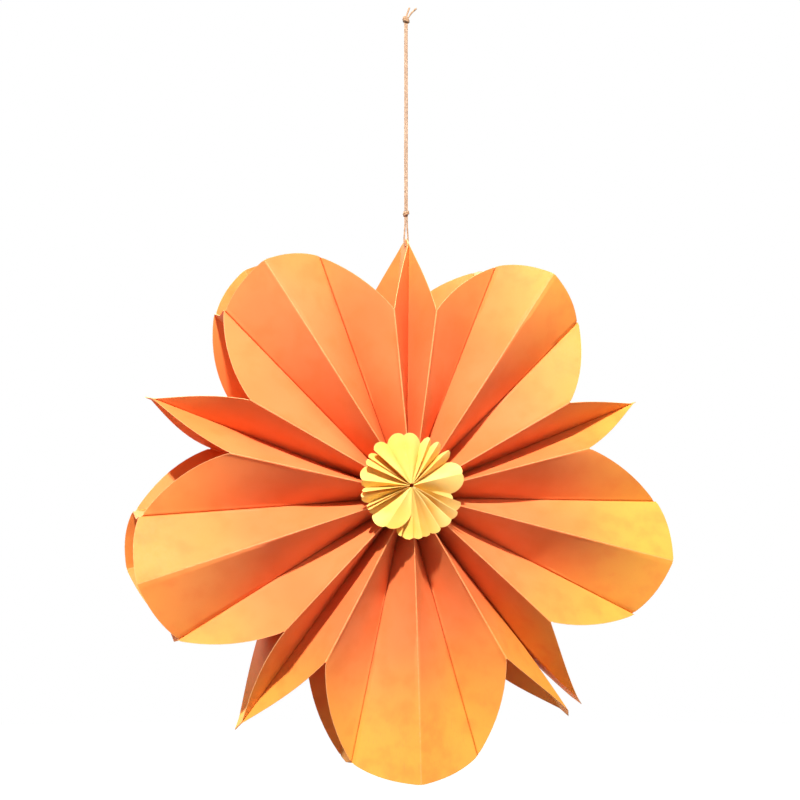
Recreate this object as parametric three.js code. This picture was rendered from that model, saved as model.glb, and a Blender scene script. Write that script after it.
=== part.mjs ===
// A hanging flower lantern of folded paper cells on a loop of twine.
// Millimetres. +Z is up, the front of the flower faces -Y, and the origin is the point
// under the upper knot where a hook carries the twine.
//
// Fifteen flat paper tubes, the cells, are glued face to face and fanned out round a hub.
// The glued faces of two cells make one radial wall. On both sides of the walls each cell
// stands free as a V of two flanges: its ridge points outward and its edges meet the walls
// in the valleys. Ten cells are cut short at the ridge and make the notches beside the five
// star tips; the other five carry the middle ridge of a petal.
import * as THREE from 'three';

// Opening angle of each cell, in degrees, counted from the top star down both sides.
const LEFT_CELLS = [21.5, 25, 24, 26, 27.5, 22, 24, 27.5, 24.3];
const RIGHT_CELLS = [20, 23, 22.5, 23, 26, 23.7];
const TOP_STAR_ANGLE = 88.4;

// Paper.
const CARD = 0.4;
const WALL = 0.7;
const WALL_START = 3.5;
const SEAM_WALL = 0.4;
const FOLD_START = 8;
const CREASE_GAP = 0.5;
const CREASE_SIDE = 0.4;

// Half depth of a petal's wall, of a star's wall at the hub and at its end, and of the ridges.
const PETAL_BAND = 29;
const STAR_BAND = 36;
const STAR_BAND_END = 11;
const RIDGE_AT_HUB = 62;
const RIDGE_AT_RIM = 52;

// Radii of the cut outline at the hub's height; the cut grows by DROOP towards the bottom.
const DROOP = 0.023;
const PETAL_RADIUS = 227;
const PETAL_VALLEY = 215;
const NOTCH_RADIUS = 151.5;
// The notches lie a little further out on the right than on the left.
const NOTCH_GROWTH = 2.6;
const STAR_VALLEY = 222;
const STAR_TIP = 229;
const NOTCH_LEAN = 3.8;
const SEAM_LEAN = { left: 2.65, right: 3.8 };

// Twine and its knots.
const TWINE = 1.5;
const GAP = 0.3;
const KNOT_DISTANCE = 170;
const KNOT_TO_TIP = 22;
const UPPER_KNOT_Z = 4.5;
const UPPER_KNOT = { radius: 3, height: 7 };
const LOWER_KNOT = { radius: 3.1, height: 8 };
const HOLE_BELOW_TIP = 6;
const HOLE_RADIUS = 1.7;

// Rosettes and the closing magnets.
const ROSETTE_RADIUS = 41;
const ROSETTE_HUB = 3;
const ROSETTE_PLEATS = 22;
const ROSETTE_HALF_DEPTH = 7;
const ROSETTE_LIFT = 4;
const MAGNET = { radius: 4, thickness: 1.2, distance: 100 };

const ORANGE = { color: '#f08c3c', roughness: 0.85, metalness: 0 };
const YELLOW = { color: '#f6dc5a', roughness: 0.85, metalness: 0 };
const BEIGE = { color: '#dcb98c', roughness: 0.95, metalness: 0 };
const NICKEL = { color: '#b9bcc0', roughness: 0.3, metalness: 1 };

const radians = THREE.MathUtils.degToRad;
const TIP_Z = UPPER_KNOT_Z - KNOT_DISTANCE - KNOT_TO_TIP;
const TOP_TIP_RADIUS = drooped(STAR_TIP, TOP_STAR_ANGLE);
const HOLE_CENTRE = TOP_TIP_RADIUS - HOLE_BELOW_TIP;
const HOLE_Z = TIP_Z - HOLE_BELOW_TIP;
const HUB = new THREE.Vector3(
  -HOLE_CENTRE * Math.cos(radians(TOP_STAR_ANGLE)),
  0,
  HOLE_Z - HOLE_CENTRE * Math.sin(radians(TOP_STAR_ANGLE)),
);

// The hub sits a little above the middle of the cut outline, so the lower cells reach further.
function drooped(radius, angle) {
  return radius * (1 - DROOP * Math.sin(radians(angle)));
}

function material(look) {
  return new THREE.MeshStandardMaterial(look);
}

function mesh(name, geometry, look) {
  const piece = new THREE.Mesh(geometry, material(look));
  piece.name = name;
  return piece;
}

// A point at a distance from the hub's axis, in the direction of an angle, at a depth along Y.
function polar(angle, radius, depth) {
  return new THREE.Vector3(
    radius * Math.cos(radians(angle)),
    depth,
    radius * Math.sin(radians(angle)),
  );
}

// The direction in which an angle grows.
function sideways(angle) {
  return new THREE.Vector3(-Math.sin(radians(angle)), 0, Math.cos(radians(angle)));
}

// A closed sheet of even thickness over a grid of points, given as columns of rows.
function sheetSolid(columns, thickness, closed = false) {
  const width = columns.length;
  const height = columns[0].length;
  const column = (i) => (closed ? (i + width) % width : THREE.MathUtils.clamp(i, 0, width - 1));
  const row = (j) => THREE.MathUtils.clamp(j, 0, height - 1);
  const edge = (a, b) => new THREE.Vector3().subVectors(b, a);
  const side = (i, j, step) => {
    const start = columns[column(i)][j];
    const next = columns[column(i + step)][j];
    const along = edge(columns[column(i)][row(j - 1)], columns[column(i)][row(j + 1)]);
    return edge(start, next).multiplyScalar(step).cross(along).normalize();
  };
  const positions = [];
  const put = (point) => positions.push(point.x, point.y, point.z);
  for (const face of [1, -1]) {
    for (let i = 0; i < width; i += 1) {
      for (let j = 0; j < height; j += 1) {
        const normal = side(i, j, 1).add(side(i, j, -1)).normalize();
        put(columns[i][j].clone().addScaledVector(normal, (face * thickness) / 2));
      }
    }
  }
  const top = (i, j) => column(i) * height + j;
  const bottom = (i, j) => top(i, j) + width * height;
  const triangles = [];
  const quad = (a, b, c, d) => triangles.push(a, b, c, a, c, d);
  const last = closed ? width : width - 1;
  for (let i = 0; i < last; i += 1) {
    for (let j = 0; j < height - 1; j += 1) {
      quad(top(i, j), top(i + 1, j), top(i + 1, j + 1), top(i, j + 1));
      quad(bottom(i, j), bottom(i, j + 1), bottom(i + 1, j + 1), bottom(i + 1, j));
    }
    quad(top(i + 1, 0), top(i, 0), bottom(i, 0), bottom(i + 1, 0));
    quad(top(i, height - 1), top(i + 1, height - 1), bottom(i + 1, height - 1), bottom(i, height - 1));
  }
  if (!closed) {
    for (let j = 0; j < height - 1; j += 1) {
      quad(top(0, j), top(0, j + 1), bottom(0, j + 1), bottom(0, j));
      quad(top(last, j + 1), top(last, j), bottom(last, j), bottom(last, j + 1));
    }
  }
  const geometry = new THREE.BufferGeometry();
  geometry.setAttribute('position', new THREE.Float32BufferAttribute(positions, 3));
  geometry.setIndex(triangles);
  return geometry;
}

// Every third wall carries a star tip.
function isStar(index) {
  return index % 3 === 0;
}

// The walls' angles on one side: index 0 is the shared wall of the top star.
function wallAngles(cells, direction) {
  const angles = [TOP_STAR_ANGLE];
  for (const opening of cells) {
    angles.push(angles[angles.length - 1] + direction * opening);
  }
  return angles;
}

// Half the depth of a wall at a distance from the hub's axis.
function bandDepth(atStar, radius) {
  if (!atStar) {
    return PETAL_BAND;
  }
  return STAR_BAND - (STAR_BAND - STAR_BAND_END) * (radius / STAR_VALLEY);
}

// How far a ridge stands from the middle plane.
function ridgeDepth(radius) {
  return RIDGE_AT_HUB - (RIDGE_AT_HUB - RIDGE_AT_RIM) * (radius / PETAL_RADIUS) ** 2;
}

// One radial wall, pointed in the middle where it ends in a star tip. A wall is two glued
// layers, except at the open seam, where each side keeps its own layer, moved towards its cell.
function wallGeometry(index, angle, seamShift = 0) {
  const thickness = seamShift === 0 ? WALL : SEAM_WALL;
  const star = isStar(index);
  const valley = drooped(star ? STAR_VALLEY : PETAL_VALLEY, angle);
  const middle = star ? drooped(STAR_TIP, angle) : valley + 2;
  const outline = new THREE.Shape();
  outline.moveTo(WALL_START, -bandDepth(star, WALL_START));
  outline.lineTo(valley, -bandDepth(star, valley));
  outline.lineTo(middle, 0);
  outline.lineTo(valley, bandDepth(star, valley));
  outline.lineTo(WALL_START, bandDepth(star, WALL_START));
  if (index === 0) {
    const hole = new THREE.Path();
    hole.absarc(HOLE_CENTRE, 0, HOLE_RADIUS, 0, 2 * Math.PI, true);
    outline.holes.push(hole);
  }
  const geometry = new THREE.ExtrudeGeometry(outline, {
    depth: thickness,
    bevelEnabled: false,
    curveSegments: 6,
  });
  geometry.translate(0, 0, seamShift - thickness / 2);
  return geometry;
}

// How far out the paper is cut, from the valley (share 0) to the ridge (share 1).
function cutRadius(startsAtStar, endsAtStar, share, angle) {
  const valley = drooped(startsAtStar ? STAR_VALLEY : PETAL_VALLEY, angle);
  if (!startsAtStar && !endsAtStar) {
    const ridge = drooped(PETAL_RADIUS, angle);
    return ridge - (ridge - valley) * (1 - share) ** 2.4;
  }
  const notch = NOTCH_RADIUS + NOTCH_GROWTH * Math.cos(radians(angle));
  if (startsAtStar) {
    return valley - (valley - notch) * share ** 0.92;
  }
  return valley - (valley - notch) * (0.69 * share + 0.31 * share ** 2);
}

// One free V of a cell, in front of the walls (face -1) or behind them (face 1).
function foldGeometry(cell, face) {
  const middle = (cell.start + cell.end) / 2;
  const lean = cell.startStar ? -NOTCH_LEAN : cell.endStar ? cell.leanToStar : 0;
  const turn = Math.sign(cell.end - cell.start);
  const ridgeAngle = middle + turn * lean;
  const shares = cell.startStar || cell.endStar ? [0, 0.5] : [0, 0.3, 0.65];
  const rows = [0, 0.3, 0.6, 0.82, 1];
  const flange = (angle, atStar, otherStar, inward) => (share) =>
    rows.map((along) => {
      const cut = cutRadius(atStar, otherStar, share, middle);
      const radius = FOLD_START + (cut - FOLD_START) * along;
      const valley = polar(angle, radius, face * (bandDepth(atStar, radius) + CREASE_GAP));
      valley.addScaledVector(sideways(angle), inward * turn * CREASE_SIDE);
      const ridge = polar(ridgeAngle, radius, face * ridgeDepth(radius));
      return valley.lerp(ridge, share);
    });
  const first = flange(cell.start, cell.startStar, cell.endStar, 1);
  const second = flange(cell.end, cell.endStar, cell.startStar, -1);
  const columns = [
    ...shares.map((share) => first(share)),
    first(1),
    ...shares.toReversed().map((share) => second(share)),
  ];
  if (turn * face > 0) {
    columns.reverse();
  }
  return sheetSolid(columns, CARD);
}

// A pleated paper disc on the ends of the ridges at the hub.
function rosetteGeometry(face) {
  const depth = RIDGE_AT_HUB + 2 * GAP + ROSETTE_HALF_DEPTH;
  const columns = [];
  for (let i = 0; i < 2 * ROSETTE_PLEATS; i += 1) {
    const angle = (i * 180) / ROSETTE_PLEATS;
    const outward = i % 2 === 0 ? 1 : -1;
    const rim = outward > 0 ? ROSETTE_RADIUS : ROSETTE_RADIUS - 4;
    const y = face * (depth + outward * (ROSETTE_HALF_DEPTH - CARD));
    columns.push([ROSETTE_HUB, rim].map((radius) => polar(angle, radius, y)));
  }
  if (face > 0) {
    columns.reverse();
  }
  return sheetSolid(columns, CARD, true).translate(0, 0, ROSETTE_LIFT);
}

// A small disc magnet inside an end cell, on the layer at the seam.
function magnet(name, angle, seamShift) {
  const geometry = new THREE.CylinderGeometry(MAGNET.radius, MAGNET.radius, MAGNET.thickness, 16);
  geometry.rotateX(Math.PI / 2);
  const inward = SEAM_WALL / 2 + GAP + MAGNET.thickness / 2;
  geometry.translate(MAGNET.distance, 0, seamShift + Math.sign(seamShift) * inward);
  const piece = mesh(name, geometry, NICKEL);
  piece.rotation.y = -radians(angle);
  return piece;
}

// Walls and folds of one side of the fan, from the top star to the open seam.
function addSide(flower, side, openings, direction) {
  const angles = wallAngles(openings, direction);
  const seamShift = (-direction * (SEAM_WALL + GAP)) / 2;
  openings.forEach((_, i) => {
    const number = i + 1;
    const atSeam = number === openings.length;
    const cell = {
      start: angles[i],
      end: angles[number],
      startStar: isStar(i),
      endStar: isStar(number),
      leanToStar: atSeam ? SEAM_LEAN[side] : NOTCH_LEAN,
    };
    const shape = wallGeometry(number, angles[number], atSeam ? seamShift : 0);
    const wall = mesh(`wall_${side}_${number}`, shape, ORANGE);
    wall.rotation.y = -radians(angles[number]);
    flower.add(wall);
    flower.add(mesh(`front_fold_${side}_${number}`, foldGeometry(cell, -1), ORANGE));
    flower.add(mesh(`back_fold_${side}_${number}`, foldGeometry(cell, 1), ORANGE));
  });
  flower.add(magnet(`seam_magnet_${side}`, angles[angles.length - 1], seamShift));
}

function buildFlower() {
  const flower = new THREE.Group();
  flower.position.copy(HUB);
  const topWall = mesh('wall_top_star', wallGeometry(0, TOP_STAR_ANGLE), ORANGE);
  topWall.rotation.y = -radians(TOP_STAR_ANGLE);
  flower.add(topWall);
  addSide(flower, 'left', LEFT_CELLS, 1);
  addSide(flower, 'right', RIGHT_CELLS, -1);
  flower.add(mesh('front_rosette', rosetteGeometry(-1), YELLOW));
  flower.add(mesh('back_rosette', rosetteGeometry(1), YELLOW));
  return flower;
}

// A round tube along points chosen by hand, in steps of about three diameters or fewer.
function twineTube(name, points, steps) {
  const route = new THREE.CatmullRomCurve3(points.map((point) => new THREE.Vector3(...point)));
  const section = new THREE.Shape();
  for (let i = 0; i < 8; i += 1) {
    const turn = (i * Math.PI) / 4;
    const corner = [(TWINE / 2) * Math.cos(turn), (TWINE / 2) * Math.sin(turn)];
    if (i === 0) {
      section.moveTo(...corner);
    } else {
      section.lineTo(...corner);
    }
  }
  section.closePath();
  const geometry = new THREE.ExtrudeGeometry(section, { steps, extrudePath: route, curveSegments: 1 });
  return mesh(name, geometry, BEIGE);
}

function knot(name, z, { radius, height }) {
  const profile = [];
  for (let i = 0; i <= 6; i += 1) {
    const turn = (i * Math.PI) / 6 - Math.PI / 2;
    const across = i === 0 || i === 6 ? 0 : radius * Math.cos(turn);
    profile.push(new THREE.Vector2(across, (height / 2) * Math.sin(turn)));
  }
  const geometry = new THREE.LatheGeometry(profile, 10);
  geometry.rotateX(Math.PI / 2);
  geometry.translate(0, 0, z);
  return mesh(name, geometry, BEIGE);
}

function buildTwine() {
  const twine = new THREE.Group();
  const lowerKnotZ = UPPER_KNOT_Z - KNOT_DISTANCE;
  const top = UPPER_KNOT_Z - UPPER_KNOT.height / 2 - GAP;
  const bottom = lowerKnotZ + LOWER_KNOT.height / 2 + GAP;
  twine.add(knot('upper_knot', UPPER_KNOT_Z, UPPER_KNOT));
  twine.add(knot('lower_knot', lowerKnotZ, LOWER_KNOT));
  twine.add(twineTube('twine_strand_left', [
    [-0.9, 0, top], [-0.95, 0, -30], [-0.9, 0, -70], [-1, 0, -115], [-0.9, 0, bottom],
  ], 36));
  twine.add(twineTube('twine_strand_right', [
    [0.9, 0, top], [0.9, 0, -30], [1, 0, -70], [0.9, 0, -115], [0.9, 0, bottom],
  ], 36));
  const endStart = UPPER_KNOT_Z + UPPER_KNOT.height / 2 + GAP;
  twine.add(twineTube('twine_end_short', [
    [-0.1, 0, endStart], [1.5, 0.1, endStart + 3.2], [3, 0.2, endStart + 7.5],
  ], 5));
  twine.add(twineTube('twine_end_long', [
    [1.9, 0, endStart], [4.6, -0.3, endStart + 2.6], [9, -0.6, endStart + 7.1],
  ], 5));
  const underKnot = lowerKnotZ - LOWER_KNOT.height / 2 - GAP;
  twine.add(twineTube('twine_eye', [
    [-1, 0, underKnot], [-1, 0, underKnot - 6], [-1.5, 0, HOLE_Z + 8.5], [-1.6, 0, HOLE_Z + 4],
    [-1.4, 0, HOLE_Z + 1.1], [0, 0, HOLE_Z], [1.4, 0, HOLE_Z + 1.1], [1.6, 0, HOLE_Z + 4],
    [1.5, 0, HOLE_Z + 8.5], [1, 0, underKnot - 6], [1, 0, underKnot],
  ], 34));
  return twine;
}

const lantern = new THREE.Group();
lantern.add(buildFlower());
lantern.add(buildTwine());

export default lantern;
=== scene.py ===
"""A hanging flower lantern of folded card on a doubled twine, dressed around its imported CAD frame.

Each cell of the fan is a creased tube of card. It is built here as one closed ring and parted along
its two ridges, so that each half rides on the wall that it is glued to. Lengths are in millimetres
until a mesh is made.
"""
import math
import random

import bpy
import numpy as np
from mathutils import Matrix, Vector


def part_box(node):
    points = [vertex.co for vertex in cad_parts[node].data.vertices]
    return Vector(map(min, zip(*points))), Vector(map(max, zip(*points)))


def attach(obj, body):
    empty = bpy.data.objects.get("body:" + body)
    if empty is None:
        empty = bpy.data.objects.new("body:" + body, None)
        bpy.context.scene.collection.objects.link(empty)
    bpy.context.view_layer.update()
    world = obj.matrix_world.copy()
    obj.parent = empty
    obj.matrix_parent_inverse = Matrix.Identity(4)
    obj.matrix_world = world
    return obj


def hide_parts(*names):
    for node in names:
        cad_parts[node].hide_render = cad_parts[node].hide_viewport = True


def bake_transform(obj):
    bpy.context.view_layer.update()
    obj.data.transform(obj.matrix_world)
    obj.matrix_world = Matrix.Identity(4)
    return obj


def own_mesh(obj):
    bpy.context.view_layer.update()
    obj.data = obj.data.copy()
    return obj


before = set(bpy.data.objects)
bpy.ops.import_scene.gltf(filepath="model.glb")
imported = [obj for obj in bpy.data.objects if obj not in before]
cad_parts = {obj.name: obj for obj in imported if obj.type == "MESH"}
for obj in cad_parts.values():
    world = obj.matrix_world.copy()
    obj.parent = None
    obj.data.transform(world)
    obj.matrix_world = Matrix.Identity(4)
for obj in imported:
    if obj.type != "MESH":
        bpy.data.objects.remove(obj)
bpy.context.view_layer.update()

MM = 0.001
TINY = 1e-9

# Shape of the flower, as in the CAD source.
FOLD_START = 7.0
PETAL_BAND = 29.0
STAR_BAND, STAR_BAND_END = 36.0, 11.0
RIDGE_AT_HUB, RIDGE_AT_RIM = 62.0, 52.0
DROOP = 0.023
PETAL_RADIUS, PETAL_VALLEY = 227.0, 215.0
NOTCH_RADIUS, NOTCH_GROWTH = 151.5, 2.6
STAR_VALLEY, STAR_TIP = 222.0, 229.0
NOTCH_LEAN = 3.8
SEAM_LEAN = {"left": 2.65, "right": 3.8}
CELLS = {"left": 9, "right": 6}
TURN = {"left": 1, "right": -1}
ROSETTE_LIFT = 4.0
HOLE_RADIUS = 1.7

# Card. A painted sunlight turns it yellower far out, and most of all towards one angle, set below.
CARD = 0.34
GLUE_HALF = 0.2
SEAM_GAP_HALF = 0.35
CREASE_ROUND = 1.5
CREASE_SHARE = 0.22
# Painted sunlight: the angle in degrees that it leans towards, and how strongly it leans.
PAINTED_SUN_TOWARDS = -45
PAINTED_SUN_SHARE = 0.27
SHARP_CARD = 50


def polar(angle, radius, depth):
    """A point relative to the hub, at an angle in degrees seen from the front."""
    turn = math.radians(angle)
    return np.array([radius * math.cos(turn), depth, radius * math.sin(turn)])


def sideways(angle):
    """The direction in which an angle grows."""
    turn = math.radians(angle)
    return np.array([-math.sin(turn), 0.0, math.cos(turn)])


def unit(vectors):
    """The vectors at length 1."""
    length = np.linalg.norm(vectors, axis=-1, keepdims=True)
    return vectors / np.maximum(length, TINY)


def off_axis(points):
    """How far points are from the flower's axis."""
    return np.linalg.norm(points[..., [0, 2]], axis=-1)


def hub_point():
    """The flower's axis, from the middle of the rosette that sits on it."""
    low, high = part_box("front_rosette")
    return np.array([(low.x + high.x) / 2, 0.0, (low.z + high.z) / 2]) / MM - [0, 0, ROSETTE_LIFT]


HUB = hub_point()


def wall_angle(node, near):
    """A wall's angle in degrees, from its CAD plate, in the turn that is nearest to another angle."""
    points = np.array([v.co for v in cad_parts[node].data.vertices]) / MM - HUB
    middle = points.mean(0)
    angle = math.degrees(math.atan2(middle[2], middle[0]))
    return angle + 360 * round((near - angle) / 360)


def side_angles(side):
    """The walls' angles from the top star to the open seam."""
    angles = [wall_angle("wall_top_star", 90)]
    for number in range(1, CELLS[side] + 1):
        angles.append(wall_angle(f"wall_{side}_{number}", angles[-1] + TURN[side] * 24))
    return angles


# ---------------------------------------------------------------- camera

VIEW_AZIMUTH, VIEW_ELEVATION = -10.2, -4.6
CAMERA_DISTANCE = 1280.0
LENS, SENSOR = 68.5, 36
SHIFT = (0.0012, 0.125)


def direction(azimuth, elevation):
    """The direction from the lantern to something that is seen at an azimuth and an elevation."""
    turn, rise = math.radians(azimuth), math.radians(elevation)
    return Vector((math.sin(turn) * math.cos(rise), -math.cos(turn) * math.cos(rise), math.sin(rise)))


def place_camera():
    """The camera looks at the hub from a little to the left and below."""
    back = direction(VIEW_AZIMUTH, VIEW_ELEVATION)
    data = bpy.data.cameras.new("camera")
    data.lens = LENS
    data.sensor_width = SENSOR
    data.shift_x, data.shift_y = SHIFT
    data.clip_start, data.clip_end = 0.01, 60
    camera = bpy.data.objects.new("camera", data)
    camera.location = Vector(HUB * MM) + back * CAMERA_DISTANCE * MM
    camera.rotation_mode = "QUATERNION"
    camera.rotation_quaternion = (-back).to_track_quat("-Z", "Y")
    bpy.context.scene.collection.objects.link(camera)
    bpy.context.scene.camera = camera


place_camera()


# ---------------------------------------------------------------- materials

def new_material(name):
    """A material without nodes, and its nodes and links."""
    material = bpy.data.materials.new(name)
    material.use_nodes = True
    material.node_tree.nodes.clear()
    return material, material.node_tree.nodes, material.node_tree.links


def noise(nodes, links, scale, detail, stretch=None):
    """A noise texture in the object's own coordinates, in features per metre."""
    coordinates = nodes.new("ShaderNodeTexCoord")
    texture = nodes.new("ShaderNodeTexNoise")
    texture.inputs["Scale"].default_value = scale
    texture.inputs["Detail"].default_value = detail
    source = coordinates.outputs["Object"]
    if stretch:
        mapping = nodes.new("ShaderNodeMapping")
        mapping.inputs["Scale"].default_value = stretch
        links.new(source, mapping.inputs["Vector"])
        source = mapping.outputs["Vector"]
    links.new(source, texture.inputs["Vector"])
    return texture.outputs["Fac"]


def remap(nodes, links, value, low, high, to_low=0.0, to_high=1.0):
    """The value from low to high turned smoothly into to_low to to_high."""
    node = nodes.new("ShaderNodeMapRange")
    node.interpolation_type = "SMOOTHSTEP"
    for socket, number in zip(("From Min", "From Max", "To Min", "To Max"), (low, high, to_low, to_high)):
        node.inputs[socket].default_value = number
    links.new(value, node.inputs["Value"])
    return node.outputs["Result"]


def combine(nodes, links, operation, a, b):
    """Two numbers or sockets put together by a sum, a product or the like."""
    node = nodes.new("ShaderNodeMath")
    node.operation = operation
    for socket, value in zip(node.inputs, (a, b)):
        if isinstance(value, (int, float)):
            socket.default_value = value
        else:
            links.new(value, socket)
    return node.outputs["Value"]


def tint(nodes, links, factor, a, b):
    """Colour a where factor is 0 and b where it is 1."""
    node = nodes.new("ShaderNodeMix")
    node.data_type = "RGBA"
    links.new(factor, node.inputs["Factor"])
    for socket, value in (("A", a), ("B", b)):
        target = [i for i in node.inputs if i.name == socket and i.type == "RGBA"][0]
        if isinstance(value, tuple):
            target.default_value = (*value, 1)
        else:
            links.new(value, target)
    return [o for o in node.outputs if o.type == "RGBA"][0]


def bump(nodes, links, height, distance, strength, under=None):
    """Fine relief in metres, on top of the relief under it."""
    node = nodes.new("ShaderNodeBump")
    node.inputs["Distance"].default_value = distance
    node.inputs["Strength"].default_value = strength
    links.new(height, node.inputs["Height"])
    if under:
        links.new(under, node.inputs["Normal"])
    return node.outputs["Normal"]


def attribute(nodes, name):
    """A number that the mesh holds for each of its points."""
    node = nodes.new("ShaderNodeAttribute")
    node.attribute_name = name
    return node.outputs["Fac"]


def show(nodes, links, shader):
    """Makes a shader the material's surface."""
    output = nodes.new("ShaderNodeOutputMaterial")
    links.new(shader, output.inputs["Surface"])


# Paper. Scales are features per metre, bump depths are metres, and the rest as named.
MOTTLE_SCALE, PAINTED_SUN_WOBBLE_SCALE, BLOTCH_SCALE, COCKLE_SCALE = 14, 9, 55, 38
FIBRE_SCALE, PALE_LINE_WOBBLE_SCALE, GRAIN_SCALE = 900, 420, 1500
PAINTED_SUN_WOBBLE_MM, PALE_LINE_WOBBLE_MM = 90, 1.1
# Where the painted sunlit yellow grows in, in millimetres of its mark; its wobbling edge is set above.
PAINTED_SUN_BETWEEN = (145, 310)
# Ridges get a paler line that is partly scuffed card and partly a painted highlight; cut edges get a
# paler band.
RIDGE_PALE_BETWEEN, CUT_PALE_BETWEEN = (0.5, 1.15), (0.5, 1.1)
BLOTCH_SHARE, SPECK_SHARE, RIDGE_WEAR_AND_HIGHLIGHT, CUT_PALE_SHARE = 0.35, 0.3, 0.45, 0.6
GRAIN_DEPTH, COCKLE_DEPTH = 0.00006, 0.0012


def paper(name, colour, pale, deep, painted_sunlit, pale_line_colour, glow, roughness, see_through):
    """Dyed card or paper: mottled dye, fibre grain, a painted sunlit yellow far out, a paler line on the
    creases that is partly scuffed card and partly a painted highlight, a paler band at the cut edges,
    and light that comes through from the other side."""
    material, nodes, links = new_material(name)
    mottle = remap(nodes, links, noise(nodes, links, MOTTLE_SCALE, 2), 0.3, 0.72)
    card_colour = tint(nodes, links, mottle, colour, pale)
    # Painted sunlight: yellower far from the axis and towards one side, with a wobbling edge.
    painted_sun_wobble = combine(nodes, links, "MULTIPLY", noise(nodes, links, PAINTED_SUN_WOBBLE_SCALE, 2), PAINTED_SUN_WOBBLE_MM)
    painted_sun_reach = combine(nodes, links, "ADD", attribute(nodes, "painted_sun_mm"), painted_sun_wobble)
    card_colour = tint(nodes, links, remap(nodes, links, painted_sun_reach, *PAINTED_SUN_BETWEEN), card_colour, painted_sunlit)
    blotch = remap(nodes, links, noise(nodes, links, BLOTCH_SCALE, 4), 0.42, 0.75, 0, BLOTCH_SHARE)
    card_colour = tint(nodes, links, blotch, card_colour, deep)
    fibres = noise(nodes, links, FIBRE_SCALE, 4, (1.0, 1.0, 0.25))
    speck = remap(nodes, links, fibres, 0.56, 0.74, 0, SPECK_SHARE)
    card_colour = tint(nodes, links, speck, card_colour, pale)
    # A paler line along the ridges, partly scuffed card and partly a painted highlight, and a paler band
    # along the cut edges.
    pale_line_wobble = combine(nodes, links, "MULTIPLY", noise(nodes, links, PALE_LINE_WOBBLE_SCALE, 3), PALE_LINE_WOBBLE_MM)
    ridge = combine(nodes, links, "ADD", attribute(nodes, "ridge_mm"), pale_line_wobble)
    ridge_wear_and_highlight = remap(nodes, links, ridge, *RIDGE_PALE_BETWEEN, RIDGE_WEAR_AND_HIGHLIGHT, 0)
    cut = combine(nodes, links, "ADD", attribute(nodes, "cut_mm"), pale_line_wobble)
    cut_pale = remap(nodes, links, cut, *CUT_PALE_BETWEEN, CUT_PALE_SHARE, 0)
    pale_lines = combine(nodes, links, "MAXIMUM", ridge_wear_and_highlight, cut_pale)
    card_colour = tint(nodes, links, pale_lines, card_colour, pale_line_colour)
    grain = bump(nodes, links, noise(nodes, links, GRAIN_SCALE, 5), GRAIN_DEPTH, 0.5)
    cockle = bump(nodes, links, noise(nodes, links, COCKLE_SCALE, 2), COCKLE_DEPTH, 0.35, grain)
    shader = nodes.new("ShaderNodeBsdfPrincipled")
    shader.inputs["Specular IOR Level"].default_value = 0.3
    links.new(card_colour, shader.inputs["Base Color"])
    links.new(remap(nodes, links, fibres, 0.3, 0.7, roughness - 0.08, roughness + 0.08),
              shader.inputs["Roughness"])
    links.new(cockle, shader.inputs["Normal"])
    through = nodes.new("ShaderNodeBsdfTranslucent")
    through.inputs["Color"].default_value = (*glow, 1)
    mix = nodes.new("ShaderNodeMixShader")
    mix.inputs["Fac"].default_value = see_through
    links.new(shader.outputs["BSDF"], mix.inputs[1])
    links.new(through.outputs["BSDF"], mix.inputs[2])
    show(nodes, links, mix.outputs["Shader"])
    return material


def plain_edge(name, colour, dark):
    """The undyed core of the card, seen where it is cut."""
    material, nodes, links = new_material(name)
    shader = nodes.new("ShaderNodeBsdfPrincipled")
    shader.inputs["Roughness"].default_value = 0.85
    shade = remap(nodes, links, noise(nodes, links, 800, 3), 0.35, 0.7)
    links.new(tint(nodes, links, shade, colour, dark), shader.inputs["Base Color"])
    links.new(bump(nodes, links, noise(nodes, links, 2500, 2), 0.00005, 0.6), shader.inputs["Normal"])
    show(nodes, links, shader.outputs["BSDF"])
    return material


TWINE_SHADOW, TWINE_TAN, TWINE_PALE = (0.24, 0.12, 0.05), (0.42, 0.25, 0.14), (0.52, 0.34, 0.21)
TWINE_FUZZ = 0.35


def twine_material():
    """Dull natural fibre, darker between the fibres, with a little fuzz."""
    material, nodes, links = new_material("twine")
    shader = nodes.new("ShaderNodeBsdfPrincipled")
    shader.inputs["Roughness"].default_value = 0.85
    shader.inputs["Sheen Weight"].default_value = TWINE_FUZZ
    shader.inputs["Sheen Roughness"].default_value = 0.4
    fibre = noise(nodes, links, 1400, 4, (1.0, 1.0, 0.3))
    patch = remap(nodes, links, noise(nodes, links, 60, 2), 0.35, 0.65)
    hank = tint(nodes, links, patch, TWINE_TAN, TWINE_PALE)
    strands = remap(nodes, links, fibre, 0.35, 0.65)
    links.new(tint(nodes, links, strands, TWINE_SHADOW, hank), shader.inputs["Base Color"])
    links.new(bump(nodes, links, fibre, 0.00025, 0.8), shader.inputs["Normal"])
    show(nodes, links, shader.outputs["BSDF"])
    return material


NICKEL_DARK, NICKEL_PALE = (0.55, 0.55, 0.56), (0.70, 0.69, 0.67)


def nickel_material():
    """Smudged nickel plate."""
    material, nodes, links = new_material("nickel")
    shader = nodes.new("ShaderNodeBsdfPrincipled")
    shader.inputs["Metallic"].default_value = 1.0
    smudge = noise(nodes, links, 700, 4)
    links.new(tint(nodes, links, smudge, NICKEL_DARK, NICKEL_PALE), shader.inputs["Base Color"])
    links.new(remap(nodes, links, smudge, 0.3, 0.7, 0.2, 0.36), shader.inputs["Roughness"])
    show(nodes, links, shader.outputs["BSDF"])
    return material


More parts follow.
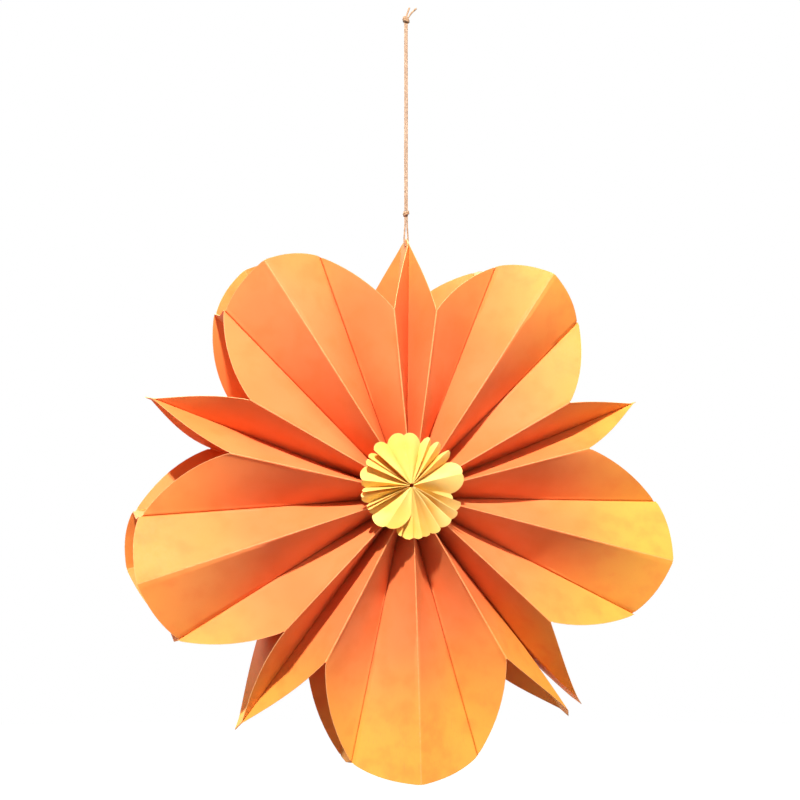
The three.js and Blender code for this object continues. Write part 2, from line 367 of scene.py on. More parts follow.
def matte(name, colour, glow):
    """A matte surface that glows a little, so that it runs into the white surroundings."""
    material, nodes, links = new_material(name)
    shader = nodes.new("ShaderNodeBsdfPrincipled")
    shader.inputs["Roughness"].default_value = 0.9
    shader.inputs["Emission Color"].default_value = (1, 1, 1, 1)
    shader.inputs["Emission Strength"].default_value = glow
    shade = remap(nodes, links, noise(nodes, links, 1.2, 2), 0.3, 0.7)
    links.new(tint(nodes, links, shade, colour, tuple(0.985 * c for c in colour)),
              shader.inputs["Base Color"])
    show(nodes, links, shader.outputs["BSDF"])
    return material


ORANGE = paper(
    "orange_card",
    colour=(0.80, 0.195, 0.056),
    pale=(0.84, 0.24, 0.080),
    deep=(0.74, 0.160, 0.030),
    # The painted sunlit yellow far out.
    painted_sunlit=(0.83, 0.37, 0.052),
    # Paler lines: along the cut edges, and along the ridges, where they are partly a painted highlight.
    pale_line_colour=(0.93, 0.46, 0.19),
    glow=(0.98, 0.27, 0.03),
    roughness=0.62,
    see_through=0.18,
)
YELLOW = paper(
    "yellow_paper",
    colour=(0.93, 0.69, 0.13),
    pale=(0.95, 0.80, 0.30),
    deep=(0.91, 0.52, 0.02),
    # The same colour as the rest, so no painted sunlight shows on this paper.
    painted_sunlit=(0.93, 0.69, 0.13),
    # Paler lines at the folds, partly a painted highlight, and at the cut edges.
    pale_line_colour=(0.95, 0.85, 0.40),
    glow=(1.0, 0.60, 0.02),
    roughness=0.60,
    see_through=0.36,
)
ORANGE_CUT = plain_edge("orange_card_cut", (0.95, 0.56, 0.24), (0.86, 0.42, 0.15))
YELLOW_CUT = plain_edge("yellow_paper_cut", (0.95, 0.82, 0.34), (0.90, 0.70, 0.20))
TWINE = twine_material()
NICKEL = nickel_material()


# ---------------------------------------------------------------- sheets of card

def grid_normals(points, closed):
    """Unit normals of a grid of points, columns first. A closed grid's last column meets its first."""
    if closed:
        across = np.roll(points, -1, 0) - np.roll(points, 1, 0)
    else:
        across = np.gradient(points, axis=0)
    along = np.gradient(points, axis=1)
    return unit(np.cross(across, along))


def strip_object(name, points, normals, thickness, colour_marks, materials):
    """A closed sheet of even thickness around a grid of points. Its rims take the second material,
    and the marks hold the grid's distances in millimetres from a ridge and from the cut edge, which the
    material paints paler; along a ridge this is partly a painted highlight. The mark for the painted
    sunlight is added here."""
    columns, rows = points.shape[:2]
    # The mark for the painted sunlight: distance from the axis, plus a share of the distance towards one
    # side.
    colour_marks = {**colour_marks, "painted_sun_mm": off_axis(points) + points @ polar(PAINTED_SUN_TOWARDS, PAINTED_SUN_SHARE, 0)}
    half = normals * (thickness / 2)
    vertices = (np.concatenate([points + half, points - half]).reshape(-1, 3) + HUB) * MM
    size = columns * rows

    def top(i, j):
        return i * rows + j

    faces, rims = [], []
    for i in range(columns - 1):
        for j in range(rows - 1):
            corners = (top(i, j), top(i + 1, j), top(i + 1, j + 1), top(i, j + 1))
            faces.append(corners)
            faces.append(tuple(size + c for c in reversed(corners)))
    outline = [(top(i, 0), top(i + 1, 0)) for i in range(columns - 1)]
    outline += [(top(columns - 1, j), top(columns - 1, j + 1)) for j in range(rows - 1)]
    outline += [(top(i + 1, rows - 1), top(i, rows - 1)) for i in reversed(range(columns - 1))]
    outline += [(top(0, j + 1), top(0, j)) for j in reversed(range(rows - 1))]
    for a, b in outline:
        rims.append((b, a, size + a, size + b))
    mesh = bpy.data.meshes.new(name)
    mesh.from_pydata(vertices.tolist(), [], faces + rims)
    for label, values in colour_marks.items():
        both = np.concatenate([values.ravel(), values.ravel()]).astype(np.float32)
        mesh.attributes.new(label, "FLOAT", "POINT").data.foreach_set("value", both)
    for material in materials:
        mesh.materials.append(material)
    indices = np.zeros(len(faces) + len(rims), np.int32)
    indices[len(faces):] = 1
    mesh.polygons.foreach_set("material_index", indices)
    mesh.polygons.foreach_set("use_smooth", np.ones(len(indices), bool))
    mesh.update()
    mesh.set_sharp_from_angle(angle=math.radians(SHARP_CARD))
    piece = bpy.data.objects.new(name, mesh)
    bpy.context.scene.collection.objects.link(piece)
    return piece


def distance_to_line(points, line):
    """Each point's distance from a line of points."""
    flat = points.reshape(-1, 1, 3)
    start, step = line[:-1], line[1:] - line[:-1]
    length = np.maximum((step ** 2).sum(-1), TINY)
    share = np.clip(((flat - start) * step).sum(-1) / length, 0, 1)
    nearest = start + share[..., None] * step
    return np.linalg.norm(flat - nearest, axis=-1).min(1).reshape(points.shape[:-1])


# ---------------------------------------------------------------- cells

# Rows from the hub (0) to the cut edge (1), and columns from the ridge (1) to the wall (0).
ROWS = 1 - np.array([1, 0.95, 0.9, 0.84, 0.78, 0.72, 0.66, 0.6, 0.54, 0.48, 0.42, 0.36, 0.3, 0.25, 0.2,
                     0.155, 0.115, 0.08, 0.052, 0.031, 0.017, 0.0085, 0.004, 0.0018, 0])
FLANGE_SHARES = [0.965, 0.9, 0.82, 0.72, 0.62, 0.52, 0.42, 0.32, 0.23, 0.15, 0.085, 0.035]
WALL_SHARES = [0.03, 0.12, 0.26, 0.42, 0.5, 0.58, 0.74, 0.88, 0.97]

# Places along a rounded crease, which runs from 0 to 1. A ridge is shared with the other half.
RIDGE_STEPS = (0.5, 0.25, 0.0)
VALLEY_STEPS = (0.0, 0.3, 0.5, 0.7, 1.0)
VALLEY_LIFT = 0.2
WALL_AT_CREASE = 0.8
PETAL_WALL_POINT = 2

# Curves of the cut edges, from the wall's edge to the ridge.
PETAL_ROUNDNESS = 2.4
STAR_SIDE_CURVE = 0.92
PETAL_SIDE_MIX = (0.69, 0.31)

# The flanges' bellies, and the curl that begins at the share CURL_FROM of the way out.
BULGE = 2.4
CURL = 2.0
CURL_FROM = 0.72
BELLY_WAVES = 1.2
BELLY_MEAN, BELLY_SWING = 0.75, 0.35

# The open seam's end layers, which bend apart far out.
SEAM_BEND_START = 150.0
SEAM_BEND_CURVE, SEAM_BEND_MOST = 1.6, 1.1
SEAM_BEND = {"left": -4.5, "right": 8.0}
SEAM_BEND_REACH = 40
SEAM_FRONT_FLARE = {"left": 5.5, "right": 0.0}
SEAM_FRONT_DEPTH = 12
SEAM_FLARE_FORWARD = 0.4

# The back layer's lean, which grows with how much a point lies towards the angle LEAN_TOWARDS.
# LEAN_LEAST is the share of it that each side has everywhere.
BACK_LEAN = np.array([-8.0, 0.0, 15.0])
LEAN_TOWARDS = 140
LEAN_FROM, LEAN_FULL = -0.45, 0.35
LEAN_LEAST = {"left": 0.0, "right": 0.5}

# The twine's hole: its axis lies this far above the lowest point of the eye.
HOLE_ABOVE_EYE = 0.75
DRILL_LENGTH = 12


def drooped(radius, angle):
    """A radius of the rim, which hangs a little lower than a true circle."""
    return radius * (1 - DROOP * math.sin(math.radians(angle)))


def band_depth(star, radius):
    """Half the depth of a wall at a distance from the hub."""
    if not star:
        return np.full_like(radius, PETAL_BAND)
    return STAR_BAND - (STAR_BAND - STAR_BAND_END) * radius / STAR_VALLEY


def ridge_depth(radius):
    """How far a ridge lies in front of the flower's middle, or behind it."""
    return RIDGE_AT_HUB - (RIDGE_AT_HUB - RIDGE_AT_RIM) * (radius / PETAL_RADIUS) ** 2


def cut_radius(at_star, other_star, share, angle):
    """How far out the card is cut, from the valley (share 0) to the ridge (share 1)."""
    valley = drooped(STAR_VALLEY if at_star else PETAL_VALLEY, angle)
    if not at_star and not other_star:
        ridge = drooped(PETAL_RADIUS, angle)
        return ridge - (ridge - valley) * (1 - share) ** PETAL_ROUNDNESS
    notch = NOTCH_RADIUS + NOTCH_GROWTH * math.cos(math.radians(angle))
    if at_star:
        return valley - (valley - notch) * share ** STAR_SIDE_CURVE
    straight, curved = PETAL_SIDE_MIX
    return valley - (valley - notch) * (straight * share + curved * share ** 2)


class Half:
    """One half of a cell: the wall that it is glued to and its two free flanges."""

    def __init__(self, cell, at_start):
        self.cell = cell
        self.number = cell["number"] - (1 if at_start else 0)
        self.angle = cell["start"] if at_start else cell["end"]
        self.star = self.number % 3 == 0
        self.other_star = (cell["number"] - (0 if at_start else 1)) % 3 == 0
        self.inward = TURN[cell["side"]] * (1 if at_start else -1)
        self.at_seam = self.number == CELLS[cell["side"]]
        self.shift = SEAM_GAP_HALF if self.at_seam else GLUE_HALF

    def radii(self, share):
        """The rows' distances from the hub at a share of the way from the valley to the ridge."""
        cut = cut_radius(self.star, self.other_star, share, self.cell["middle"])
        return FOLD_START + (cut - FOLD_START) * ROWS

    def flange(self, face, share):
        """A column of points on the free flange in front of the wall (face -1) or behind it (1)."""
        radii = self.radii(share)
        column = []
        for radius in radii:
            valley = polar(self.angle, radius, face * (band_depth(self.star, radius) + VALLEY_LIFT))
            valley = valley + sideways(self.angle) * self.inward * self.shift
            ridge = polar(self.cell["ridge"], radius, face * ridge_depth(radius))
            column.append(valley + (ridge - valley) * share)
        return np.array(column)

    def wall(self, across):
        """A column of points on the wall, from its front edge (across -1) to its back edge (1)."""
        valley = drooped(STAR_VALLEY if self.star else PETAL_VALLEY, self.cell["middle"])
        point = drooped(STAR_TIP, self.angle) if self.star else valley + PETAL_WALL_POINT
        cut = valley + (point - valley) * (1 - abs(across))
        radii = FOLD_START + (cut - FOLD_START) * ROWS
        depth = across * band_depth(self.star, np.minimum(radii, valley))
        column = np.array([polar(self.angle, r, d) for r, d in zip(radii, depth)])
        return column + sideways(self.angle) * self.inward * self.shift


def bulges(rng):
    """How far each of a cell's four flanges bellies out, and how its free end curls, in millimetres."""
    return {(start, face): (rng.uniform(-0.6, 1) * BULGE, rng.uniform(-1, 1) * CURL, rng.uniform(0, 6))
            for start in (True, False) for face in (-1, 1)}


def belly(shape, share):
    """The push along a flange's normal at one column, zero at its creases."""
    size, curl, phase = shape
    across = math.sin(math.pi * share) ** 0.9 if 0 < share < 1 else 0.0
    wave = BELLY_MEAN + BELLY_SWING * np.sin(2 * BELLY_WAVES * math.pi * ROWS + phase)
    curled = np.clip((ROWS - CURL_FROM) / (1 - CURL_FROM), 0, 1) ** 2
    return across * (size * ROWS ** 1.2 * wave + curl * curled)


def rounded(before, corner, after, size, steps):
    """Columns that round a crease at corner between two neighbouring columns."""
    to_before, to_after = unit(before - corner), unit(after - corner)
    return [corner + size * ((1 - t) ** 2 * to_before + t ** 2 * to_after) for t in steps]


def crease_size(a, b):
    """How far from its corner a crease is rounded, less where the flange is narrow."""
    width = np.linalg.norm(a - b, axis=-1, keepdims=True)
    return np.minimum(CREASE_ROUND, CREASE_SHARE * width)


def half_columns(half, other, shapes, at_start):
    """The columns of one half, from the front ridge over the wall to the back ridge."""

    def flange_columns(face, order):
        valley, ridge = half.flange(face, 0), half.flange(face, 1)
        radial = np.gradient(valley, axis=0)
        normal = unit(np.cross(ridge - valley, radial)) * (-half.inward)
        made = []
        for share in order:
            push = belly(shapes[(at_start, face)], share)
            made.append(half.flange(face, share) + normal * push[:, None])
        return made

    def ridge_columns(face, steps):
        ridge, valley = half.flange(face, 1), half.flange(face, 0)
        far = other.flange(face, 0)
        size = crease_size(ridge, valley)
        return rounded(valley, ridge, far, size, steps)

    def valley_columns(face, steps):
        valley, ridge = half.flange(face, 0), half.flange(face, 1)
        inner = half.wall(face * WALL_AT_CREASE)
        size = crease_size(ridge, valley)
        return rounded(ridge, valley, inner, size, steps)

    made = ridge_columns(-1, RIDGE_STEPS)
    made += flange_columns(-1, FLANGE_SHARES)
    made += valley_columns(-1, VALLEY_STEPS)
    made += [half.wall(2 * share - 1) for share in WALL_SHARES]
    made += valley_columns(1, VALLEY_STEPS[::-1])
    made += flange_columns(1, FLANGE_SHARES[::-1])
    made += ridge_columns(1, RIDGE_STEPS[::-1])
    return np.array(made)


def lean_back_layer(points, side):
    """The back layer stands a little up and to the left of the front one, most at the upper left."""
    radius = np.maximum(off_axis(points), 1)
    facing = points @ polar(LEAN_TOWARDS, 1, 0) / radius
    share = np.clip((facing - LEAN_FROM) / (LEAN_FULL - LEAN_FROM), 0, 1)
    share = np.maximum(share ** 2 * (3 - 2 * share), LEAN_LEAST[side])
    share = share * np.clip(radius / NOTCH_RADIUS, 0, 1)
    share = share * np.clip(points[..., 1], 0, None) / RIDGE_AT_RIM
    return points + share[..., None] * BACK_LEAN


def splay(points, half, side):
    """Bends the end layer at the open seam away from its neighbour towards the star tip."""
    out = (off_axis(points) - SEAM_BEND_START) / (STAR_TIP - SEAM_BEND_START)
    away = np.clip(out, 0, SEAM_BEND_MOST) ** SEAM_BEND_CURVE
    offset = (points @ sideways(half.angle)) * half.inward
    near = np.clip(1 - offset / SEAM_BEND_REACH, 0, 1)
    front = np.clip(-points[..., 1] / SEAM_FRONT_DEPTH, 0, 1)
    push = SEAM_BEND[side] * away * near
    lift = SEAM_FRONT_FLARE[side] * away * near * front
    forward = np.array([0, -SEAM_FLARE_FORWARD, 0])
    return points + push[..., None] * sideways(half.angle) + lift[..., None] * forward


def twine_hole(piece):
    """Cuts the hole for the twine through the top star's wall."""
    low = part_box("twine_eye")[0]
    centre = Vector((0, 0, low.z + HOLE_ABOVE_EYE * MM))
    bpy.ops.mesh.primitive_cylinder_add(vertices=24, radius=HOLE_RADIUS * MM, depth=DRILL_LENGTH * MM,
                                        location=centre, rotation=(0, math.pi / 2, 0))
    drill = bpy.context.object
    cutter = piece.modifiers.new("hole", "BOOLEAN")
    cutter.operation = "DIFFERENCE"
    cutter.object = drill
    graph = bpy.context.evaluated_depsgraph_get()
    cut = bpy.data.meshes.new_from_object(piece.evaluated_get(graph))
    piece.modifiers.clear()
    piece.data = cut
    bpy.data.objects.remove(drill)


def body_name(side, number):
    """The body that a wall belongs to."""
    return "top_star" if number == 0 else f"{side}_cell_{number}"


def wall_name(side, number):
    """The CAD node of a wall."""
    return "wall_top_star" if number == 0 else f"wall_{side}_{number}"


def build_cell(side, angles, number):
    """The two halves of one cell, made as one ring so that they meet exactly at the ridges."""
    start, end = angles[number - 1], angles[number]
    middle = (start + end) / 2
    lean = 0.0
    if (number - 1) % 3 == 0:
        lean = -NOTCH_LEAN
    elif number % 3 == 0:
        lean = SEAM_LEAN[side] if number == CELLS[side] else NOTCH_LEAN
    cell = {"side": side, "number": number, "start": start, "end": end, "middle": middle,
            "ridge": middle + TURN[side] * lean}
    shapes = bulges(random.Random(f"{side}{number}"))
    halves = [Half(cell, True), Half(cell, False)]
    first = half_columns(halves[0], halves[1], shapes, True)
    second = half_columns(halves[1], halves[0], shapes, False)[::-1]
    if number == CELLS[side]:
        second = splay(second, halves[1], side)
    ring = lean_back_layer(np.concatenate([first, second[1:-1]]), side)
    normals = grid_normals(ring, closed=True)
    count = len(first)
    spans = [np.arange(count), np.r_[np.arange(count - 1, len(ring)), 0]]
    for half, span, label in zip(halves, spans, ("first", "second")):
        points = ring[span]
        ridges = [points[0], points[-1]]
        from_ridge = np.minimum(*(distance_to_line(points, line) for line in ridges))
        # Distances for the paler lines: along the ridges, where they are partly a painted highlight, and
        # along the cut edge.
        colour_marks = {"ridge_mm": from_ridge, "cut_mm": distance_to_line(points, points[:, -1])}
        piece = strip_object(f"cell_{side}_{number}_{label}_half", points, normals[span], CARD, colour_marks,
                             (ORANGE, ORANGE_CUT))
        if half.number == 0:
            twine_hole(piece)
        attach(piece, body_name(side, half.number))
        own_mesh(piece)
        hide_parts(f"front_fold_{side}_{number}", f"back_fold_{side}_{number}",
                    wall_name(side, half.number))


ANGLES = {side: side_angles(side) for side in CELLS}
for fan_side, fan_angles in ANGLES.items():
    for fan_number in range(1, CELLS[fan_side] + 1):
        build_cell(fan_side, fan_angles, fan_number)


# ---------------------------------------------------------------- rosettes

ROSETTE_PAPER = 0.2
ROSETTE_BASE = 69.5
ROSETTE_NUDGE = np.array([-2.3, 0.0, 2.0])
ROSETTE_ROWS = np.array([0.03, 0.1, 0.2, 0.32, 0.45, 0.58, 0.7, 0.8, 0.88, 0.94, 0.98, 1.0])

# The leaves begin at the radius ROSETTE_MIDDLE, and their pleats have full height from the radius
# ROSETTE_PLEATED_FROM.
ROSETTE_MIDDLE = 0.6
ROSETTE_PLEATED_FROM = 13
DEGREES_PER_COLUMN = 3.2
# How much less pale the rosette's folds and cut edges are; the paler line at a fold is partly a painted
# highlight.
FOLD_PALE_LESS, EDGE_PALE_LESS = 0.35, 0.2

# A leaf's rounded end, and how far it hollows or bellies, from the leaf's width in degrees.
NARROW_LEAF, NARROW_SWELL = 5, 1.2
SWELL_LEAST, SWELL_MOST, SWELL_PER_DEGREE = 0.9, 4.0, 0.17
END_ROUNDNESS = 0.7
HOLLOW_MOST, HOLLOW_DEGREES = 2.0, 9

# The back rosette's creases: lift, radius.
BACK_LEAVES = 22
BACK_START = -12
BACK_VALLEY, BACK_RIDGE = (-5.5, 35.5), (4.5, 41)
LEAF_LEAN = 0.62

# Creases of the front rosette from its right side round: angle, lift towards the viewer, radius.
FRONT_CREASES = [
    (-10, -4, 33), (14, 3.5, 41.5), (34, -3, 34), (44, 4, 41), (48, -5, 33), (58, 3, 41),
    (64, -2.5, 35), (69, 2, 41), (78, -1, 34.5), (99, 0.8, 40.5), (121, 0, 38), (139, 5.5, 41.5),
    (136, -5, 35), (148, 1.5, 41.5), (144, -3, 36), (157, 3, 40), (154, -4, 36), (175, 1.5, 40),
    (183, -4, 36.5), (189, 4.5, 40), (186, -5, 36), (194, 1, 41.5), (203, -5, 36), (206, 4, 40.5),
    (204, -4, 37), (210, 4.5, 40.5), (208, -5, 36), (216, -2, 38.5), (237, 5.5, 39.5), (268, 2, 23),
    (250, -6, 34), (258, 1, 41.5), (254, -6, 35), (271, 2, 42), (266, -6, 35), (281, 3, 42),
    (276, -6, 35), (290, 4, 41.5), (285, -6, 34), (303, 5, 41.5), (297, -6, 34), (319, 4.5, 41.5),
    (312, -6, 34), (330, 5, 42), (324, -6, 34.5), (342, 2, 41.5), (337, -6, 33),
]


def back_creases(rng):
    """Creases of a rosette with even leaves that all lean a little."""
    creases = []
    leaf = 360 / BACK_LEAVES
    for i in range(BACK_LEAVES):
        angle = BACK_START + i * leaf + rng.uniform(-2, 2)
        creases.append((angle, BACK_VALLEY[0] + rng.uniform(-0.5, 0.5), BACK_VALLEY[1]))
        lift = BACK_RIDGE[0] + rng.uniform(-1.5, 1)
        creases.append((angle + LEAF_LEAN * leaf, lift, BACK_RIDGE[1] + rng.uniform(-1, 1)))
    return creases


def leaf_swell(width):
    """How far a leaf's rounded end reaches past its creases."""
    if width <= NARROW_LEAF:
        return NARROW_SWELL
    return min(SWELL_MOST, SWELL_LEAST + SWELL_PER_DEGREE * width)


def rosette_columns(creases, face, rng):
    """Columns round the rosette, and for each one the angle of its leaf and its share of the way
    across that leaf, 0 on a crease."""
    columns, owners, folds = [], [], []
    closing = (creases[0][0] + 360, *creases[0][1:])
    for crease, following in zip(creases, creases[1:] + [closing]):
        step = np.subtract(following, crease)
        width = abs(step[0])
        hollow = rng.uniform(-0.5, 1.0) * min(HOLLOW_MOST, width / HOLLOW_DEGREES)
        count = max(3, round(width / DEGREES_PER_COLUMN))
        for k in range(count):
            share = k / count
            angle, lift, edge = np.array(crease) + step * share
            if k:
                edge += leaf_swell(width) * math.sin(math.pi * share) ** END_ROUNDNESS
            radii = ROSETTE_MIDDLE + (edge - ROSETTE_MIDDLE) * ROSETTE_ROWS
            rise = np.clip(radii / ROSETTE_PLEATED_FROM, 0, 1) ** 0.8
            depths = face * (ROSETTE_BASE + (lift + hollow * math.sin(math.pi * share)) * rise)
            shown = angle if face < 0 else 180 - angle
            leaf = crease[0] + step[0] / 2
            columns.append([polar(shown, radius, depth) for radius, depth in zip(radii, depths)])
            owners.append(leaf if face < 0 else 180 - leaf)
            folds.append(share)
    return np.array(columns), owners, np.array(folds)


def nearest_wall(angle):
    """The side, number and angle of the wall that is nearest to an angle."""
    walls = [(side, number, wall) for side in ANGLES for number, wall in enumerate(ANGLES[side])]
    seam, top = ANGLES["right"][-1], ANGLES["right"][0]
    beyond_seam = (angle - seam) % 360 < (top - seam) % 360
    allowed = [w for w in walls if w[1] < CELLS[w[0]] or (w[0] == "right") == beyond_seam]
    return min(allowed, key=lambda wall: abs((wall[2] - angle + 180) % 360 - 180))


def build_rosette(label, creases, face, rng):
    """A pleated disc, parted into leaves that ride on the walls behind them and close with the fan."""
    ring, owners, folds = rosette_columns(creases, face, rng)
    normals = grid_normals(ring, closed=True)
    walls = [nearest_wall(owner) for owner in owners]
    count = len(ring)
    cuts = [i for i in range(count) if folds[i] == 0 and walls[i] != walls[i - 1]]
    for place, begin in enumerate(cuts):
        stop = cuts[(place + 1) % len(cuts)]
        span = [(begin + k) % count for k in range((stop - begin) % count + 1)]
        side, number, angle = walls[begin]
        points = ring[span] + [0, 0, ROSETTE_LIFT] + ROSETTE_NUDGE
        creased = [i for i in range(len(span)) if folds[span[i]] == 0]
        from_fold = np.min([distance_to_line(points, points[i]) for i in creased], 0)
        from_edge = distance_to_line(points, points[:, -1])
        colour_marks = {"ridge_mm": from_fold + FOLD_PALE_LESS, "cut_mm": from_edge + EDGE_PALE_LESS}
        piece = strip_object(f"{label}_rosette_leaves_{place + 1}", points, normals[span],
                             ROSETTE_PAPER, colour_marks, (YELLOW, YELLOW_CUT))
        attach(piece, body_name(side, number))
        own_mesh(piece)
        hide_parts(f"{label}_rosette")


build_rosette("front", FRONT_CREASES, -1, random.Random(5))
build_rosette("back", back_creases(random.Random(8)), 1, random.Random(9))


# ---------------------------------------------------------------- twine

STRAND = 1.5
PLIES = 3
PLY_DEPTH, PLY_ROUNDNESS = 0.16, 0.7
LAY_LENGTH = 6.0
AROUND = 18
SHARP_ROPE = 60
STRAND_TURN = {"left": 1.0, "right": 0.0}
END_FRAY = -0.12
CURVE_STEPS = 40

# The knots' turns: their middle, how many, how wide, how high, and how much they slope.
UPPER_KNOT_Z = 4.5
LOWER_KNOT_Z = UPPER_KNOT_Z - 170
UPPER_KNOT = {"z": UPPER_KNOT_Z, "turns": 2.6, "reach": 1.9, "height": 3.4, "tilt": -0.45}
LOWER_KNOT = {"z": LOWER_KNOT_Z, "turns": 2.4, "reach": 1.75, "height": 3.6, "tilt": 0.35}
UPPER_KNOT_CORD, LOWER_KNOT_CORD = 1.15, 1.0
KNOT_STEPS = 110
KNOT_START = 0.6
KNOT_END_WIDTH, KNOT_SWELL = 0.82, 0.3
KNOT_DEPTH_SHARE = 0.9

# Routes, point by point.
STRAND_ROUTES = {
    "left": [(-0.8, 0, -163), (-0.9, 0, -115), (-0.8, 0, -70), (-0.85, 0, -30), (-0.8, 0, 2)],
    "right": [(0.8, 0, -163), (0.8, 0, -115), (0.9, 0, -70), (0.8, 0, -30), (0.8, 0, 2)],
}
END_ROUTES = {
    "short": [(-0.3, 0, 6), (1.5, 0.1, 11.5), (3, 0.2, 15.8)],
    "long": [(1.3, 0, 6), (4.6, -0.3, 10.9), (9, -0.6, 15.4)],
}
EYE_ROUTE = [(-0.8, 0, -167.5), (-0.9, 0, -175.8), (-1.5, 0, -185), (-1.6, 0, -189.5), (-1.4, 0, -192.4),
             (0, 0, -193.5), (1.4, 0, -192.4), (1.6, 0, -189.5), (1.5, 0, -185), (0.9, 0, -175.8),
             (0.8, 0, -167.5)]


def distances_along(route):
    """How far along a route each of its points is."""
    return np.r_[0, np.cumsum(np.linalg.norm(np.diff(route, axis=0), axis=1))]


def smooth_route(points, step):
    """A centripetal Catmull-Rom curve through the points, in even steps."""
    p = np.array(points, float)
    p = np.vstack([2 * p[0] - p[1], p, 2 * p[-1] - p[-2]])
    times = np.r_[0, np.cumsum(np.linalg.norm(np.diff(p, axis=0), axis=1) ** 0.5)]
    fine = []
    for first in range(len(p) - 3):
        a, b, c, d = p[first:first + 4]
        knots = times[first:first + 4]
        for t in np.linspace(knots[1], knots[2], CURVE_STEPS, endpoint=False):

            def mix(u, v, i, j):
                return ((knots[j] - t) * u + (t - knots[i]) * v) / (knots[j] - knots[i])

            ab, bc, cd = mix(a, b, 0, 1), mix(b, c, 1, 2), mix(c, d, 2, 3)
            fine.append(mix(mix(ab, bc, 0, 2), mix(bc, cd, 1, 3), 1, 2))
    fine = np.array(fine + [p[-2]])
    walked = distances_along(fine)
    even = np.linspace(0, walked[-1], max(4, round(walked[-1] / step)) + 1)
    return np.column_stack([np.interp(even, walked, fine[:, k]) for k in range(3)])


def laid_rope(name, route, radius, taper=0.0, turn=0.0):
    """A twisted cord of three plies along a route."""
    tangents = unit(np.gradient(route, axis=0))
    walked = distances_along(route)
    side = np.array([0.0, 1.0, 0.0])
    vertices = []
    for point, tangent, distance in zip(route, tangents, walked):
        side = side - tangent * (side @ tangent)
        side = side / np.linalg.norm(side)
        other = np.cross(tangent, side)
        twist = 2 * math.pi * distance / LAY_LENGTH + turn
        slim = 1 - taper * distance / walked[-1]
        for k in range(AROUND):
            around = 2 * math.pi * k / AROUND
            ply = abs(math.cos(PLIES * (around - twist) / 2)) ** PLY_ROUNDNESS
            reach = radius * slim * (1 - PLY_DEPTH * (1 - ply))
            vertices.append(point + reach * (math.cos(around) * side + math.sin(around) * other))
    faces = []
    for i in range(len(route) - 1):
        for k in range(AROUND):
            a, b = i * AROUND + k, i * AROUND + (k + 1) % AROUND
            faces.append((a, b, b + AROUND, a + AROUND))
    last = (len(route) - 1) * AROUND
    faces.append(tuple(reversed(range(AROUND))))
    faces.append(tuple(range(last, last + AROUND)))
    mesh = bpy.data.meshes.new(name)
    mesh.from_pydata((np.array(vertices) * MM).tolist(), [], faces)
    mesh.materials.append(TWINE)
    mesh.polygons.foreach_set("use_smooth", np.ones(len(faces), bool))
    mesh.update()
    mesh.set_sharp_from_angle(angle=math.radians(SHARP_ROPE))
    piece = bpy.data.objects.new(name, mesh)
    bpy.context.scene.collection.objects.link(piece)
    return piece


def knot_route(z, turns, reach, height, tilt):
    """The turns of an overhand knot, wrapped aslant round the twine."""
    points = []
    for k in range(KNOT_STEPS + 1):
        share = k / KNOT_STEPS
        around = 2 * math.pi * turns * share + KNOT_START
        out = reach * (KNOT_END_WIDTH + KNOT_SWELL * math.sin(math.pi * share))
        x, y = out * math.cos(around), out * KNOT_DEPTH_SHARE * math.sin(around)
        points.append((x, y, z + height * (share - 0.5) + tilt * x))
    return np.array(points)


def build_twine():
    """The two knots, the cut ends, the two strands and the eye."""
    upper = laid_rope("upper_knot_turns", knot_route(**UPPER_KNOT), UPPER_KNOT_CORD)
    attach(upper, "hanging_twine")
    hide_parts("upper_knot")
    lower = laid_rope("lower_knot_turns", knot_route(**LOWER_KNOT), LOWER_KNOT_CORD)
    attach(lower, "hanger_loop")
    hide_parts("lower_knot")
    for label, points in END_ROUTES.items():
        route = smooth_route(points, 0.35)
        end = laid_rope(f"twine_cut_end_{label}", route, STRAND / 2, taper=END_FRAY)
        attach(end, "hanging_twine")
        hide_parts(f"twine_end_{label}")
    for label, points in STRAND_ROUTES.items():
        route = smooth_route(points, 0.5)
        strand = laid_rope(f"twine_run_{label}", route, STRAND / 2, turn=STRAND_TURN[label])
        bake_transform(strand)
        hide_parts(f"twine_strand_{label}")
    route = smooth_route(EYE_ROUTE, 0.4)
    eye = laid_rope("twine_eye_loop", route, STRAND / 2)
    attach(eye, "hanger_loop")
    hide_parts("twine_eye")


build_twine()


# ---------------------------------------------------------------- magnets

MAGNET_RADIUS, MAGNET_THICKNESS = 4.0, 1.2
MAGNET_RIM = 0.18


def build_magnet(side):
    """A disc magnet with rounded rims, in its CAD place."""
    node = f"seam_magnet_{side}"
    low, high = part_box(node)
    bpy.ops.mesh.primitive_cylinder_add(vertices=48, radius=MAGNET_RADIUS * MM,
                                        depth=MAGNET_THICKNESS * MM)
    piece = bpy.context.object
    piece.name = f"disc_magnet_{side}"
    piece.data.name = piece.name
    bevel = piece.modifiers.new("rim", "BEVEL")
    bevel.width = MAGNET_RIM * MM
    bevel.segments = 3
    piece.rotation_mode = "QUATERNION"
    piece.rotation_quaternion = Vector(sideways(ANGLES[side][-1])).to_track_quat("Z", "Y")
    piece.location = (low + high) / 2
    piece.data.materials.append(NICKEL)
    piece.data.shade_smooth()
    piece.data.set_sharp_from_angle(angle=math.radians(40))
    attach(piece, body_name(side, CELLS[side]))
    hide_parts(node)


for magnet_side in CELLS:
    build_magnet(magnet_side)


# ---------------------------------------------------------------- stage and light

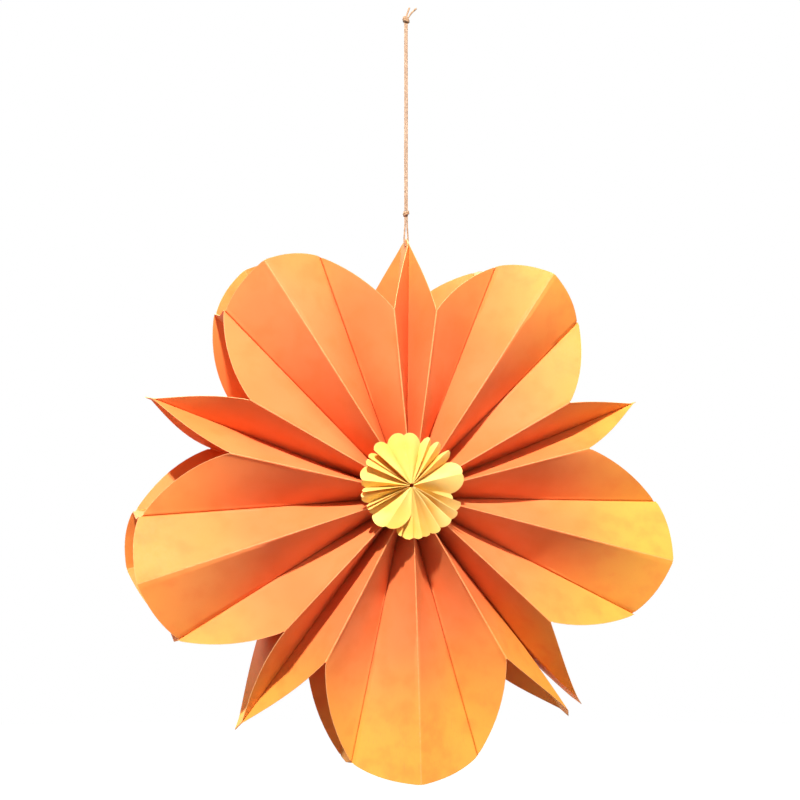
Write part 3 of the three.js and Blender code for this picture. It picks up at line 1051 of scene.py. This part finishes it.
# Metres and watts.
FLOOR_Z = -1.5
FLOOR_RADIUS = 14.0
FLOOR_COLOUR, FLOOR_GLOW = (0.93, 0.93, 0.92), 0.75
LAMP_COLOUR = (1, 0.97, 0.92)
SKY_COLOUR, SKY_STRENGTH = (1, 0.98, 0.96, 1), 0.34
KEY = {"azimuth": -15, "elevation": 42, "distance": 2.6, "size": 0.14, "watts": 150}
FILL = {"azimuth": 42, "elevation": 22, "distance": 2.4, "size": 1.2, "watts": 12}
REAR = {"azimuth": 215, "elevation": 40, "distance": 2.6, "size": 1.0, "watts": 110}


def area_light(name, azimuth, elevation, distance, size, watts):
    """A round soft light that faces the flower."""
    back = direction(azimuth, elevation)
    data = bpy.data.lights.new(name, "AREA")
    data.shape = "DISK"
    data.size = size
    data.energy = watts
    data.color = LAMP_COLOUR
    lamp = bpy.data.objects.new(name, data)
    lamp.location = Vector(HUB * MM) + back * distance
    lamp.rotation_mode = "QUATERNION"
    lamp.rotation_quaternion = back.to_track_quat("Z", "Y")
    bpy.context.scene.collection.objects.link(lamp)


def build_stage():
    """A wide pale floor far below the lantern. It doesn't light the paper."""
    bpy.ops.mesh.primitive_circle_add(vertices=96, radius=FLOOR_RADIUS, fill_type="NGON",
                                      location=(0, 0, FLOOR_Z))
    floor = bpy.context.object
    floor.name = "floor"
    floor.visible_diffuse = False
    floor.data.materials.append(matte("pale_floor", FLOOR_COLOUR, FLOOR_GLOW))


def build_world():
    """Even white surroundings. They light the paper less brightly than they look."""
    world = bpy.data.worlds.new("studio")
    world.use_nodes = True
    nodes, links = world.node_tree.nodes, world.node_tree.links
    nodes.clear()
    seen, lighting = nodes.new("ShaderNodeBackground"), nodes.new("ShaderNodeBackground")
    seen.inputs["Color"].default_value = (1, 1, 1, 1)
    lighting.inputs["Color"].default_value = SKY_COLOUR
    lighting.inputs["Strength"].default_value = SKY_STRENGTH
    path = nodes.new("ShaderNodeLightPath")
    mix = nodes.new("ShaderNodeMixShader")
    links.new(path.outputs["Is Camera Ray"], mix.inputs["Fac"])
    links.new(lighting.outputs["Background"], mix.inputs[1])
    links.new(seen.outputs["Background"], mix.inputs[2])
    output = nodes.new("ShaderNodeOutputWorld")
    links.new(mix.outputs["Shader"], output.inputs["Surface"])
    bpy.context.scene.world = world


build_stage()
build_world()
area_light("key", **KEY)
area_light("fill", **FILL)
area_light("rear", **REAR)
bpy.context.scene.view_settings.view_transform = "Standard"
